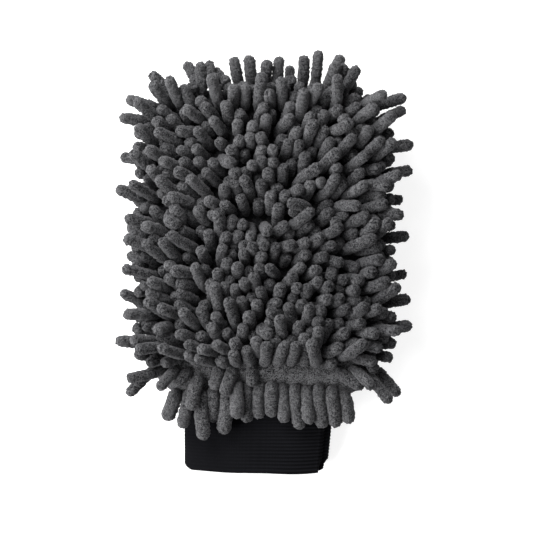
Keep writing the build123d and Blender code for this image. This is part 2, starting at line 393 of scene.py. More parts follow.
def node_mesh(node: str) -> tuple[Array, Array]:
    """A CAD node's corners and triangles."""
    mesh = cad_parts[node].data
    mesh.calc_loop_triangles()
    points = np.zeros(len(mesh.vertices) * 3)
    corners = np.zeros(len(mesh.loop_triangles) * 3, dtype=int)
    mesh.vertices.foreach_get("co", points)
    mesh.loop_triangles.foreach_get("vertices", corners)
    return points.reshape(-1, 3), corners.reshape(-1, 3)


def node_tree(*nodes: str) -> BVHTree:
    """The CAD nodes' faces, for casting rays at them."""
    points, triangles, count = [], [], 0
    for node in nodes:
        corners, faces = node_mesh(node)
        points.append(corners)
        triangles.append(faces + count)
        count += len(corners)
    return BVHTree.FromPolygons(np.concatenate(points).tolist(), np.concatenate(triangles).tolist())


def islands(points: Array, triangles: Array) -> list[Array]:
    """Splits a node into its separate solids.

    Args:
        points: The node's corners.
        triangles: Its triangles, which share no corner from face to face.

    Returns:
        Each solid's corner positions.
    """
    key = np.round(points / CORNER_STEP).astype(np.int64) @ np.array(CORNER_KEY)
    _, joined = np.unique(key, return_inverse=True)
    faces = joined[triangles]
    label = np.arange(joined.max() + 1)
    while True:
        lowest = label[faces].min(axis=1)
        after = label.copy()
        for corner in range(3):
            np.minimum.at(after, faces[:, corner], lowest)
        after = after[after]
        if (after == label).all():
            break
        label = after
    owner = label[joined]
    return [points[owner == which] for which in np.unique(owner)]


@dataclass(frozen=True)
class ShellForm:
    """The shell's outline along Y: its half width, half height, and the height of its middle."""

    y: Array
    half_width: Array
    half_height: Array
    middle: Array
    centre_x: float

    @classmethod
    def measure(cls, front: str, back: str, count: int = 120) -> "ShellForm":
        """Reads the outline off two CAD nodes that make a bag.

        Args:
            front: The node of its front sheet.
            back: The node of its back sheet.
            count: How many places along Y are read.

        Returns:
            The outline.
        """
        tree = node_tree(front, back)
        low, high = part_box(front)
        centre = (low[0] + high[0]) / 2
        places, widths, heights, middles = [], [], [], []
        for y in np.linspace(low[1] + 0.2 * MM, high[1] - 0.2 * MM, count):
            top = tree.ray_cast(Vector((centre, y, 1)), Vector((0, 0, -1)))[0].z
            bottom = tree.ray_cast(Vector((centre, y, -1)), Vector((0, 0, 1)))[0].z
            middle = (top + bottom) / 2
            rays = [Vector((1, y, middle + lift * MM)) for lift in (-0.4, -0.15, 0.15, 0.4)]
            edges = [tree.ray_cast(ray, Vector((-1, 0, 0)))[0] for ray in rays]
            if not any(edges):
                continue
            places.append(y)
            widths.append(max(edge.x for edge in edges if edge) - centre)
            heights.append((top - bottom) / 2)
            middles.append(middle)
        parts = np.array([places, widths, heights, middles])
        first = parts[:, :1] * 2 - parts[:, 1:2]
        spare = (places[0] - low[1]) / (places[1] - places[0])
        first = parts[:, :1] + (first - parts[:, :1]) * spare
        parts = np.concatenate([first, parts], axis=1)
        return cls(*parts, centre)

    def at(self, y: Array | float) -> tuple[Array, Array, Array]:
        """The half width, half height and middle height at y."""
        return tuple(np.interp(y, self.y, part) for part in (self.half_width, self.half_height, self.middle))

    def girth(self, y: Array | float) -> Array:
        """Half the way over one face at y, from its middle to its seam."""
        wide, high, _ = self.at(y)
        return wide - high + high * math.pi / 2

    def section(self, y: Array, share: Array, side: Side, out: Array | float = 0.0) -> Array:
        """Points on one face.

        Args:
            y: Where along the mitt.
            share: From -1 at the left seam to 1 at the right one.
            side: Which face.
            out: How far off the surface, outwards.

        Returns:
            The points, in the last axis.
        """
        wide, high, middle = self.at(y)
        run = share * self.girth(y)
        flat = wide - high
        turn = np.clip((np.abs(run) - flat) / np.maximum(high, 1e-6), 0, math.pi / 2)
        x = np.sign(run) * (np.minimum(np.abs(run), flat) + (high + out) * np.sin(turn))
        z = middle + side.value * (high + out) * np.cos(turn)
        return np.stack([x + self.centre_x, y + 0 * x, z], axis=-1)

    def core(self, points: Array) -> tuple[Array, Array]:
        """The nearest point of the flat core that the shell is rounded about, and the rounding's radius."""
        cap = self.y[-1] - self.half_height[len(self.y) // 2]
        y = np.clip(points[..., 1], self.y[0], cap)
        _, high, middle = self.at(y)
        reach = np.interp(points[..., 1], self.y, self.half_width) - high
        x = np.clip(points[..., 0] - self.centre_x, -reach, reach) + self.centre_x
        return np.stack([x, y, middle], axis=-1), high


# ---------------------------------------------------------------- meshes


def new_mesh(name: str, points: Array, faces: list, finish: Material) -> Piece:
    """A smooth mesh object with one material, at the origin."""
    mesh = bpy.data.meshes.new(name)
    mesh.from_pydata(np.asarray(points).reshape(-1, 3).tolist(), [], faces)
    mesh.update()
    mesh.shade_smooth()
    mesh.materials.append(finish)
    made = bpy.data.objects.new(name, mesh)
    bpy.context.scene.collection.objects.link(made)
    return made


def grid_faces(rows: int, columns: int, wrap_rows: bool, wrap_columns: bool) -> list[tuple[int, ...]]:
    """The quads of a grid of points, in row-major order, joined round where it wraps."""
    faces = []
    for i in range(rows if wrap_rows else rows - 1):
        for j in range(columns if wrap_columns else columns - 1):
            a, b = i * columns + j, i * columns + (j + 1) % columns
            c, d = (i + 1) % rows * columns + (j + 1) % columns, (i + 1) % rows * columns + j
            faces.append((a, b, c, d))
    return faces


def write_uv(piece: Piece, uv: Array) -> None:
    """Stores the cloth's own coordinates, in metres, from one pair for each point."""
    layer = piece.data.uv_layers.new(name="cloth")
    corner = np.zeros(len(piece.data.loops), dtype=int)
    piece.data.loops.foreach_get("vertex_index", corner)
    layer.data.foreach_set("uv", uv.reshape(-1, 2)[corner].astype(np.float32).ravel())


def write_mark(mesh: bpy.types.Mesh, name: str, values: Array) -> None:
    """Stores one number for each point of a mesh."""
    mesh.attributes.new(name, "FLOAT", "POINT").data.foreach_set("value", values.astype(np.float32).ravel())


def ease(value: Array) -> Array:
    """A smooth step from 0 to 1 as the value goes from 0 to 1."""
    held = np.clip(value, 0, 1)
    return held * held * (3 - 2 * held)


def face_outwards(piece: Piece) -> None:
    """Turns every face of a closed mesh outwards, by the sign of its volume."""
    mesh = piece.data
    mesh.calc_loop_triangles()
    volume = 0.0
    for triangle in mesh.loop_triangles:
        a, b, c = (mesh.vertices[i].co for i in triangle.vertices)
        volume += a.dot(b.cross(c))
    if volume < 0:
        mesh.flip_normals()


# ---------------------------------------------------------------- the pile


@dataclass(frozen=True)
class Brushed:
    """A patch where the pile has been pushed one way: (0, 0) leaves it upright."""

    x: float
    y: float
    reach: float
    lean: tuple[float, float]


@dataclass
class Fingers:
    """Every chenille finger of the mitt, as roots, ways out of the cloth, lengths and owners."""

    root: Array
    out: Array
    stand: Array
    length: Array
    radius: Array
    node: list[str]

    @classmethod
    def read(cls, form: ShellForm, rows: list[str]) -> "Fingers":
        """Finds each finger's axis in the CAD rows.

        Args:
            form: The shell they stand on.
            rows: The CAD nodes that hold them.

        Returns:
            The fingers.
        """
        roots, tips, radii, owners = [], [], [], []
        for row in rows:
            for solid in islands(*node_mesh(row)):
                centre = (solid.min(axis=0) + solid.max(axis=0)) / 2
                spread = np.linalg.eigh(np.cov((solid - centre).T))
                axis = spread[1][:, -1]
                run = (solid - centre) @ axis
                off = np.linalg.norm(solid - centre - run[:, None] * axis, axis=1)
                radius = float(np.median(off[off > 0.8 * off.max()]))
                half = (run.max() - run.min()) / 2 - radius
                middle = centre + axis * (run.max() + run.min()) / 2
                ends = np.array([middle - half * axis, middle + half * axis])
                if row in FRINGE_NODES:
                    far = -ends[:, 1]
                else:
                    core, _ = form.core(ends)
                    far = np.linalg.norm(ends - core, axis=1)
                near, tip = ends[np.argsort(far)]
                roots.append(near)
                tips.append(tip)
                radii.append(radius)
                owners.append(row)
        root, tip = np.array(roots), np.array(tips)
        core, _ = form.core(root)
        out = root - core
        out /= np.linalg.norm(out, axis=1)[:, None]
        stand = tip - root
        length = np.linalg.norm(stand, axis=1)
        return cls(root, out, stand / length[:, None], length, np.array(radii), owners)


FRONT_ROWS = sorted(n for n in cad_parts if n.startswith("front_chenille_row"))
BACK_ROWS = sorted(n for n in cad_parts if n.startswith("back_chenille_row"))
FRINGE_NODES = ["fringe_over_cuff"]


@dataclass(frozen=True)
class Zones:
    """Which fingers stand on the front face, in the fringe, round the rim, and inside it at the sides."""

    front: Array
    fringe: Array
    rim: Array
    side: Array

    @classmethod
    def of(cls, fingers: Fingers) -> "Zones":
        """Sorts the fingers: a rim finger's way out of the cloth points more than about half sideways."""
        front = np.array([n in FRONT_ROWS for n in fingers.node])
        fringe = np.array([n in FRINGE_NODES for n in fingers.node])
        rim = np.linalg.norm(fingers.out[:, :2], axis=1) > 0.55
        side = ~rim & ~fringe & (np.abs(fingers.root[:, 0]) > 60 * MM)
        return cls(front, fringe, rim, side)


@dataclass
class Fringe:
    """The fingers that hang over the cuff: a long layer, and four short ones over its left half."""

    spread: float = 1.00
    shift: float = -3.0 * MM
    root_y: float = -78.5 * MM
    droop: float = 4.5 * MM
    hang: float = 24.5 * MM
    clear_y: float = -57.0 * MM
    second: tuple[tuple[float, float, float], ...] = (
        (-43, -70, 20),
        (-29, -66, 12),
        (-20, -67, 16),
        (-8, -64, 13),
    )

    def arrange(self, fingers: Fingers, form: ShellForm, rng: np.random.Generator) -> Fingers:
        """Moves the fringe's roots back under the pile and adds the short layer.

        Args:
            fingers: Every finger as the CAD has it.
            form: The shell, on whose front face the roots go.
            rng: Where its unevenness comes from.

        Returns:
            The fingers with the fringe arranged.
        """
        fringe = np.array([n in FRINGE_NODES for n in fingers.node])
        x = fingers.root[fringe, 0] * self.spread + self.shift
        x = x + rng.normal(0, 1.1 * MM, len(x))
        y = self.root_y - self.droop * (x / x.max()) ** 2 + rng.normal(0, 0.7 * MM, len(x))
        length = self.hang * rng.uniform(0.78, 1.14, len(x)) * (1 - 0.16 * (np.abs(x) > 47 * MM))
        short = np.array(self.second) * MM
        x = np.concatenate([x, short[:, 0]])
        y = np.concatenate([y, short[:, 1]])
        length = np.concatenate([length, short[:, 2]])
        root = form.section(y, x / form.girth(y), Side.FRONT, -0.5 * MM)
        core, _ = form.core(root)
        out = root - core
        out /= np.linalg.norm(out, axis=1)[:, None]
        stand = out * 0.45 + np.stack([0.16 * x / 0.06, -np.ones(len(x)), np.zeros(len(x))], axis=1)
        stand /= np.linalg.norm(stand, axis=1)[:, None]
        rest = ~fringe
        low = np.array([n in FRONT_ROWS for n in fingers.node]) & (fingers.root[:, 1] < self.clear_y)
        low &= np.abs(fingers.root[:, 0]) < 47 * MM
        drawn = self.clear_y + 0.35 * (fingers.root[low, 1] - self.clear_y)
        share = fingers.root[low, 0] / form.girth(drawn)
        fingers.root[low] = form.section(drawn, share, Side.FRONT, 1.5 * MM)
        return Fingers(
            np.concatenate([fingers.root[rest], root]),
            np.concatenate([fingers.out[rest], out]),
            np.concatenate([fingers.stand[rest], stand]),
            np.concatenate([fingers.length[rest], length]),
            np.concatenate([fingers.radius[rest], np.full(len(x), fingers.radius.mean())]),
            [n for n in fingers.node if n not in FRINGE_NODES] + FRINGE_NODES * len(x),
        )


@dataclass
class Pile:
    """The chenille pile: how its fingers lean, settle against each other and are swept as yarn."""

    thick: float = 3.72 * MM
    fringe_thick: float = 4.45 * MM
    joints: int = 7
    passes: int = 240
    pull: float = 0.24
    packing: float = 0.95
    sides: int = 18
    body_rings: int = 25
    tip_rings: int = 7
    kinked: float = 0.09
    proud_gap: float = 10.5 * MM
    over_gap: float = 10.5 * MM
    buried_gap: float = 11.5 * MM
    tucked: float = 0.52
    buried: float = 0.58
    side_reach: float = 90 * MM
    face_reach: float = 75 * MM
    arch: float = 5 * MM
    band_y: float = -67 * MM
    # painted light: the fringe's yarn is made lighter, as it lies less in shade than the pile
    fringe_tone: float = 0.9
    rib_depth: float = 0.05 * MM
    rib_pitch: float = 2.1 * MM
    plush_depth: float = 2.9 * MM
    plush_scale: float = 800.0
    brushed: tuple[Brushed, ...] = (
        Brushed(-62, 10, 30, (-1.00, 0.72)),
        Brushed(-62, -38, 20, (-1.00, 0.60)),
        Brushed(-62, 70, 26, (-1.00, 0.40)),
        Brushed(-44, 40, 16, (-0.80, 0.75)),
        Brushed(66, 70, 26, (0.85, 0.75)),
        Brushed(66, 20, 26, (1.00, 0.32)),
        Brushed(66, -30, 20, (1.00, 0.10)),
        Brushed(28, 80, 20, (0.30, 0.60)),
        Brushed(22, 28, 20, (0.35, 0.50)),
        Brushed(0, 108, 14, (0.00, 0.90)),
        Brushed(-12, 82, 24, (0.00, 0.10)),
        Brushed(-14, 48, 20, (0.00, 0.02)),
        Brushed(-12, 30, 12, (0.00, 0.00)),
        Brushed(-28, 12, 12, (0.00, 0.62)),
        Brushed(-8, 40, 9, (0.05, 0.75)),
        Brushed(-8, 22, 9, (-0.05, -0.35)),
        Brushed(-22, -12, 16, (0.00, 0.20)),
        Brushed(28, -22, 22, (0.06, 0.05)),
        Brushed(48, -18, 14, (0.12, 0.00)),
        Brushed(44, 20, 9, (0.70, 0.90)),
        Brushed(42, 0, 9, (0.15, -0.40)),
        Brushed(-30, -38, 16, (0.00, 0.70)),
        Brushed(-34, -60, 14, (-0.25, 0.20)),
        Brushed(22, -56, 20, (0.22, 1.30)),
        Brushed(-70, -56, 12, (-1.00, 0.05)),
        Brushed(-66, -76, 17, (-0.75, -1.00)),
        Brushed(66, -76, 19, (0.75, -1.00)),
        Brushed(-56, 98, 20, (-0.70, 0.75)),
        Brushed(60, 98, 22, (0.75, 0.75)),
    )
    rng: np.random.Generator = field(default_factory=lambda: np.random.default_rng(SEED))

    def sparse(self, places: Array, chosen: Array, apart: float, order: Array) -> Array:
        """Marks some of the chosen fingers, no two of them closer than apart, the lowest order first."""
        marked = np.zeros(len(places), dtype=bool)
        for i in np.argsort(order + self.rng.uniform(0, 0.3, len(order))):
            near = np.linalg.norm(places[marked] - places[i], axis=1) < apart
            marked[i] = chosen[i] and not near.any()
        return marked

    def lean(self, fingers: Fingers) -> Array:
        """The way each finger's tip would point if nothing were in its way."""
        x, y = fingers.root[:, 0], fingers.root[:, 1]
        share = x / fingers.root[:, 0].max()
        lean = np.stack([1.25 * share * np.abs(share) ** 0.5, 0.22 + 0.35 * y / 0.11], axis=1)
        for patch in self.brushed:
            away = np.hypot(x - patch.x * MM, y - patch.y * MM) / (patch.reach * MM)
            weight = np.exp(-(away**2))[:, None]
            lean = lean * (1 - weight) + weight * np.array(patch.lean)
        turn = self.rng.normal(0, 0.24, len(x))
        size = self.rng.uniform(0.75, 1.25, len(x))
        c, s = np.cos(turn), np.sin(turn)
        spun = np.stack([lean[:, 0] * c - lean[:, 1] * s, lean[:, 0] * s + lean[:, 1] * c], axis=1)
        return spun * size[:, None] + self.rng.normal(0, 0.05, spun.shape)

    def trim(self, fingers: Fingers, zones: Zones) -> Array:
        """Sets the fingers' lengths: round the rim some stand proud and the rest are tucked in short.

        Args:
            fingers: The fingers, whose lengths it changes.
            zones: Where they stand.

        Returns:
            Each finger's radius.
        """
        count = len(fingers.root)
        pile = ~zones.fringe
        radius = np.full(count, self.thick) * self.rng.uniform(0.93, 1.07, count)
        flat = np.linalg.norm(fingers.out[:, :2], axis=1)
        ends = fingers.root[:, :2] + fingers.out[:, :2] / flat[:, None].clip(0.1) * 20 * MM
        edge = (zones.rim & pile) | (zones.side & zones.front)
        self.proud = self.sparse(ends * [1.60, 1.0], edge, self.proud_gap, -0.6 * flat)
        tucked = zones.rim & ~self.proud & pile
        rim_share, face_share = self.rng.uniform(0.88, 1.12, count), self.rng.uniform(0.90, 1.12, count)
        length = fingers.length * np.where(zones.rim & pile, rim_share, face_share)
        length = np.where(tucked, length * self.tucked, length)
        x, y = np.abs(fingers.root[:, 0]), fingers.root[:, 1]
        corner = ((x > 30 * MM) & (y > 80 * MM)) | ((x > 57 * MM) & (y < -60 * MM))
        fingers.length = length * np.where(corner & zones.rim & ~tucked, 1.18, 1.0)
        radius = np.where(zones.rim & ~zones.front & pile, radius * 0.90, radius)
        return np.where(zones.fringe, radius * self.fringe_thick / self.thick, radius)

    def tips(self, fingers: Fingers, zones: Zones) -> Array:
        """The way each finger's tip is wanted to point, of length one."""
        lean = self.lean(fingers)
        x, y = fingers.root[:, 0], fingers.root[:, 1]
        count = len(x)
        leaning = zones.front & ~zones.rim & (np.linalg.norm(lean, axis=1) > 0.50)
        neck = leaning & (y < -59.5 * MM) & (np.abs(x - 18 * MM) < 22 * MM)
        self.over = self.sparse(fingers.root[:, :2], leaning & ~zones.side, self.over_gap, np.zeros(count))
        self.over |= neck | (zones.side & self.proud)
        lean[zones.side & ~self.proud, 0] *= 0.40
        up = np.where(zones.front, np.where(self.over, 0.55, 0.22), -0.30)
        tip = np.concatenate([lean, up[:, None]], axis=1)
        lift = np.where(zones.front, np.where(self.proud, 0.20, 1.00), np.where(self.proud, -0.10, -0.60))
        lift = lift + self.rng.normal(0, 0.15, count)
        rove = self.rng.normal(0, 0.25, count)
        flat = np.linalg.norm(fingers.out[:, :2], axis=1)
        sideways = fingers.out * [1.0, 1.0, 0.0] / flat.clip(0.1)[:, None]
        sideways = sideways + np.stack([0 * rove, rove, lift], axis=1)
        standing = sideways * [0.35, 0.35, 1.0] + tip * 0.2
        reaching = np.where(self.proud[:, None], sideways * 0.7 + tip * 0.8, standing)
        tip = np.where(zones.rim[:, None], reaching, tip)
        hanging = (np.abs(x) > 57 * MM) & (y < -60 * MM)
        steep = self.rng.uniform(0.45, 0.85, count) * np.sign(x)
        tip = np.where(hanging[:, None], np.stack([steep, np.full(count, -1.0), lift * 0.15], axis=1), tip)
        fan = 0.10 * x / 0.06 + 0.45 * (x / 0.058) ** 3 + self.rng.normal(0, 0.12, count)
        down = np.stack([fan, -np.ones(count), self.rng.normal(-0.24, 0.16, count)], axis=1)
        tip = np.where(zones.fringe[:, None], down, tip)
        return tip / np.linalg.norm(tip, axis=1)[:, None]

    def aims(self, fingers: Fingers, zones: Zones) -> Array:
        """Each joint's wanted place, for every finger: out of the cloth, then over to the tip's way."""
        tip = self.tips(fingers, zones)
        kink = self.rng.random(len(tip)) < self.kinked
        bend = self.rng.normal(0, 1, tip.shape)
        bend[:, 2] = np.abs(bend[:, 2]) * np.where(zones.front, 1, -1)
        pile = ~zones.fringe[:, None]
        start = np.where(pile, fingers.out * 0.6 + fingers.stand * 0.4, fingers.stand)
        step = fingers.length / (self.joints - 1)
        place, places = fingers.root, [fingers.root]
        for k, s in enumerate(np.linspace(0, 1, self.joints)[1:]):
            weight = min(1.0, 1.6 * s)
            way = start * (1 - weight) + tip * weight
            way = way + np.where(kink[:, None] & (k >= 3) & pile, bend * 1.1, 0)
            way /= np.linalg.norm(way, axis=1)[:, None]
            place = place + way * step[:, None]
            places.append(place)
        return np.stack(places, axis=1)

    def lay(self, fingers: Fingers, zones: Zones, aim: Array) -> Array:
        """Lets the fingers that lie over the others reach farther, and presses some others down short.

        Args:
            fingers: The fingers, whose lengths it changes.
            zones: Where they stand.
            aim: Their joints' wanted places.

        Returns:
            The wanted places for the new lengths.
        """
        free = zones.front & ~zones.rim & ~self.over
        buried = self.sparse(fingers.root[:, :2], free, self.buried_gap, np.zeros(len(free)))
        outer = zones.side & zones.front
        room = np.where(outer, self.side_reach, self.face_reach) - np.abs(fingers.root[:, 0])
        room = (room / (0.85 * fingers.length)).clip(0.90, 1.42)
        laid = np.where(self.over, room, np.where(buried | outer, self.buried, 1.0))
        fingers.length = fingers.length * laid
        aim = fingers.root[:, None] + (aim - fingers.root[:, None]) * laid[:, None, None]
        arch = np.sin(np.linspace(0, 2.6, self.joints))
        aim[..., 2] += np.where(self.over, self.arch, 0)[:, None] * arch
        return aim

    def touching(self, joints: Array, reach: float) -> tuple[Array, Array]:
        """Pairs of joints of different fingers that are within reach of each other."""
        flat = joints.reshape(-1, 3)
        tree = KDTree(len(flat))
        for i, p in enumerate(flat):
            tree.insert(p, i)
        tree.balance()
        pairs = [(i, j) for i, p in enumerate(flat) for _, j, _ in tree.find_range(p, reach) if j > i]
        pairs = np.array(pairs).reshape(-1, 2)
        apart = pairs[:, 0] // self.joints != pairs[:, 1] // self.joints
        return pairs[apart, 0], pairs[apart, 1]

    def push_apart(self, joints: Array, first: Array, second: Array, clear: Array) -> Array:
        """Moves joints that are too close to each other apart; the roots stay."""
        loose = np.tile(np.arange(self.joints) > 0, len(joints)).astype(float)
        flat = joints.reshape(-1, 3)
        gap = flat[first] - flat[second]
        far = np.linalg.norm(gap, axis=1)
        short = np.maximum((clear[first] + clear[second]) * self.packing - far, 0)
        push = gap / np.maximum(far, 1e-7)[:, None] * (0.42 * short)[:, None]
        for axis in range(3):
            flat[:, axis] += loose * np.bincount(first, push[:, axis], len(flat))
            flat[:, axis] -= loose * np.bincount(second, push[:, axis], len(flat))
        return flat.reshape(joints.shape)

    def keep_clear(
        self, joints: Array, radius: Array, zones: Zones, form: ShellForm, cuff_top: "CuffLine"
    ) -> Array:
        """Keeps the joints off the shell, the surface that it lies on, the cuff and the bare neck band.

        Args:
            joints: The joints.
            radius: Each finger's radius.
            zones: Where the fingers stand.
            form: The shell.
            cuff_top: The cuff, on which the fringe rests.

        Returns:
            The joints.
        """
        core, high = form.core(joints)
        off = joints - core
        far = np.linalg.norm(off, axis=2)
        need = np.maximum(high + 0.85 * radius[:, None] - far, 0)
        need[:, 0] = 0
        joints += off / np.maximum(far, 1e-7)[..., None] * need[..., None]
        ceiling = CAD_BOX[1][2] - self.thick * 0.8
        joints[..., 2] = np.clip(joints[..., 2], radius[:, None] * 0.96, ceiling)
        rest = cuff_top.height(joints[..., 1]) + radius[:, None] * 0.95
        joints[..., 2] = np.where(zones.fringe[:, None], np.maximum(joints[..., 2], rest), joints[..., 2])
        front = zones.front
        joints[front, :, 2] = np.maximum(joints[front, :, 2], form.middle.min() + 4 * MM)
        near = ~zones.fringe[:, None] & (np.abs(joints[..., 0]) < 46 * MM) & (joints[..., 1] < self.band_y)
        joints[..., 1] = np.where(near, self.band_y, joints[..., 1])
        return joints

    def settle(self, fingers: Fingers, form: ShellForm, cuff_top: "CuffLine") -> Array:
        """Lets the fingers bend until they rest against each other, the shell and the surface.

        Args:
            fingers: The fingers, straight, as the CAD stands them.
            form: The shell.
            cuff_top: The cuff, on which the fringe rests.

        Returns:
            Each finger's joints.
        """
        zones = Zones.of(fingers)
        self.radius = self.trim(fingers, zones)
        aim = self.lay(fingers, zones, self.aims(fingers, zones))
        step = (fingers.length / (self.joints - 1))[:, None]
        share = np.arange(self.joints) * step
        joints = fingers.root[:, None] + fingers.stand[:, None] * share[:, :, None]
        clear = np.repeat(self.radius, self.joints)
        passes = self.passes
        first = second = None
        for turn in range(passes):
            pull = self.pull * (1 - turn / passes) if turn < 0.80 * passes else 0.0
            joints[:, 1:] += pull * (aim[:, 1:] - joints[:, 1:])
            middle = (joints[:, :-2] + joints[:, 2:]) / 2
            joints[:, 1:-1] += 0.25 * (middle - joints[:, 1:-1])
            if turn % 6 == 0:
                first, second = self.touching(joints, 2 * self.thick * 1.3)
            joints = self.push_apart(joints, first, second, clear)
            joints = self.keep_clear(joints, self.radius, zones, form, cuff_top)
            for _ in range(2):
                for k in range(1, self.joints):
                    way = joints[:, k] - joints[:, k - 1]
                    far = np.linalg.norm(way, axis=1)[:, None]
                    joints[:, k] = joints[:, k - 1] + way / far * step
            joints[:, 0] = fingers.root
        return joints

    def line(self, joints: Array, radius: float) -> tuple[Array, Array, Array]:
        """A finger's smooth centreline, closer together towards its round tip.

        Args:
            joints: Its joints.
            radius: Its radius.

        Returns:
            The points, each one's share of the radius, and each one's way along.
        """
        padded = np.vstack([2 * joints[0] - joints[1], joints, 2 * joints[-1] - joints[-2]])
        fine = []
        t = np.linspace(0, 1, 8, endpoint=False)[:, None]
        for a, b, c, d in zip(padded, padded[1:], padded[2:], padded[3:]):
            square, cube = 2 * a - 5 * b + 4 * c - d, 3 * b - a - 3 * c + d
            fine.append(0.5 * (2 * b + (c - a) * t + square * t**2 + cube * t**3))
        fine = np.vstack([*fine, joints[-1:], joints[-1:] + (joints[-1] - joints[-2]) * 2])
        run = np.concatenate([[0], np.cumsum(np.linalg.norm(np.diff(fine, axis=0), axis=1))])
        neck = run[-2]
        body = np.linspace(0, neck, self.body_rings)
        angle = np.linspace(0, math.radians(82), self.tip_rings + 1)[1:]
        along = np.concatenate([body, neck + radius * np.sin(angle)])
        waist = 0.74 + 0.26 * np.clip(body / (0.35 * neck), 0, 1) ** 0.7
        share = np.concatenate([waist, np.cos(angle)])
        return np.stack([np.interp(along, run, fine[:, k]) for k in range(3)], axis=1), share, along

    def bare_root(self, row: str) -> float:
        """How much of a finger's painted root shade is skipped, where its neighbours leave the root in the
        light.
        """
        if row in FRINGE_NODES:
            return 9 * MM
        return 5 * MM if row == FRONT_ROWS[0] else 0.0

    def wear(self, root: Array) -> float:
        """How much lighter a finger's yarn is painted: painted shade on a round patch right of the middle,
        where less light falls, and painted light towards the top edge, which is lit from above.
        """
        # painted shade on a round patch right of the middle, and painted light towards the top edge
        painted_shade_patch = math.exp(-((math.hypot(root[0] - 40 * MM, root[1] + 8 * MM) / (46 * MM)) ** 2))
        return 1.1 * float(ease((root[1] - 60 * MM) / (45 * MM))) - 2.1 * painted_shade_patch

    def sweep_tree(self, finish: Material) -> NodeTree:
        """The tree that turns centrelines into plush yarn.

        Args:
            finish: The yarn's material.

        Returns:
            The geometry tree, with its sizes as inputs.
        """
        values = {
            "Rib Depth": self.rib_depth,
            "Rib Pitch": self.rib_pitch,
            "Plush Depth": self.plush_depth,
            "Sides": self.sides,
            "Seed": 0.0,
        }
        loom, size = geometry_loom("plush_yarn", values)
        named = {"data_type": "FLOAT"}
        thick = loom.add("GeometryNodeInputNamedAttribute", named, {"Name": "thick"})
        along = loom.add("GeometryNodeInputNamedAttribute", named, {"Name": "along"})
        curves = loom.add("GeometryNodeMeshToCurve", {}, {"Mesh": size["Geometry"]})
        ring = loom.add("GeometryNodeCurvePrimitiveCircle", {}, {"Resolution": size["Sides"], "Radius": 1.0})
        swept = {"Curve": curves, "Profile Curve": ring, "Scale": thick, "Fill Caps": True}
        yarn = loom.add("GeometryNodeCurveToMesh", {}, swept)
        place = loom.add("GeometryNodeInputPosition", {}, {})
        normal = loom.add("GeometryNodeInputNormal", {}, {})
        shift = loom.add("ShaderNodeCombineXYZ", {}, {"X": size["Seed"]})
        moved = loom.add("ShaderNodeVectorMath", {"operation": "ADD"}, {0: place, 1: shift})
        plush = loom.noise(moved, self.plush_scale, 1.0)
        turns = {0: along * (2 * math.pi), 1: size["Rib Pitch"]}
        ribs = loom.add("ShaderNodeMath", {"operation": "DIVIDE"}, turns)
        grow = (plush - 0.5) * size["Plush Depth"] + ribs.wave() * size["Rib Depth"]
        offset = loom.add("ShaderNodeVectorMath", {"operation": "SCALE"}, {0: normal, "Scale": grow})
        fluffed = loom.add("GeometryNodeSetPosition", {}, {"Geometry": yarn, "Offset": offset})
        smooth = loom.add("GeometryNodeSetShadeSmooth", {}, {"Geometry": fluffed})
        whole = loom.add("GeometryNodeRealizeInstances", {}, {"Geometry": smooth})
        dressed = loom.add("GeometryNodeSetMaterial", {}, {"Geometry": whole, "Material": finish})
        loom.add("NodeGroupOutput", {}, {"Geometry": dressed})
        return loom.tree

    def build(self, form: ShellForm, cuff_top: "CuffLine", finish: Material) -> list[Piece]:
        """Makes one piece of plush fingers for each CAD row.

        Args:
            form: The shell.
            cuff_top: The cuff's upper face.
            finish: The yarn's material.

        Returns:
            The pieces, which ride and stand for their rows.
        """
        fingers = Fingers.read(form, FRONT_ROWS + BACK_ROWS + FRINGE_NODES)
        fingers = Fringe().arrange(fingers, form, self.rng)
        joints = self.settle(fingers, form, cuff_top)
        tree = self.sweep_tree(finish)
        made = []
        for row in FRONT_ROWS + BACK_ROWS + FRINGE_NODES:
            points, thick, along, shade, edges = [], [], [], [], []
            for i in [k for k, owner in enumerate(fingers.node) if owner == row]:
                line, share, way = self.line(joints[i], self.radius[i])
                first = sum(len(p) for p in points)
                edges += [(first + k, first + k + 1) for k in range(len(line) - 1)]
                points.append(line)
                thick.append(share * self.radius[i])
                # the along mark also sets how much painted root shade a point gets
                along.append(way + self.bare_root(row))
                # a finger's own random tone, plus painted light on the fringe and painted light and shade by
                # place
                tone = self.rng.uniform(-1, 1) + self.fringe_tone * (row in FRINGE_NODES) + self.wear(line[0])
                shade.append(np.full(len(line), tone))
            marks = {"thick": thick, "along": along, "shade": shade}
            piece = run_along(f"{row}_fingers", np.vstack(points), edges, tree, marks)
            if row in FRINGE_NODES:
                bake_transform(piece)
            else:
                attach(piece, "mitt")
            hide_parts(row)
            made.append(piece)
        LOG.info("pile: %d fingers in %d rows", len(fingers.root), len(made))
        return made


def run_along(
    name: str, points: Array, edges: list, tree: NodeTree, marks: dict[str, list[Array]]
) -> Piece:
    """Runs a geometry tree along lines and keeps the result as a plain mesh.

    Args:
        name: The piece's name.
        points: The lines' points.
        edges: Which points are joined.
        tree: The geometry tree.
        marks: Values for the points, by attribute, in stretches.

    Returns:
        The piece.
    """
    mesh = bpy.data.meshes.new(name + "_lines")
    mesh.from_pydata(points.tolist(), edges, [])
    for mark, values in marks.items():
        write_mark(mesh, mark, np.concatenate(values))
    guide = bpy.data.objects.new(name + "_guide", mesh)
    bpy.context.scene.collection.objects.link(guide)
    modifier = guide.modifiers.new("tree", "NODES")
    modifier.node_group = tree
    bpy.context.view_layer.update()
    seen = guide.evaluated_get(bpy.context.evaluated_depsgraph_get())
    mesh = bpy.data.meshes.new_from_object(seen)
    mesh.name = name
    old = guide.data
    bpy.data.objects.remove(guide)
    bpy.data.meshes.remove(old)
    made = bpy.data.objects.new(name, mesh)
    bpy.context.scene.collection.objects.link(made)
    return made


# ---------------------------------------------------------------- cloth


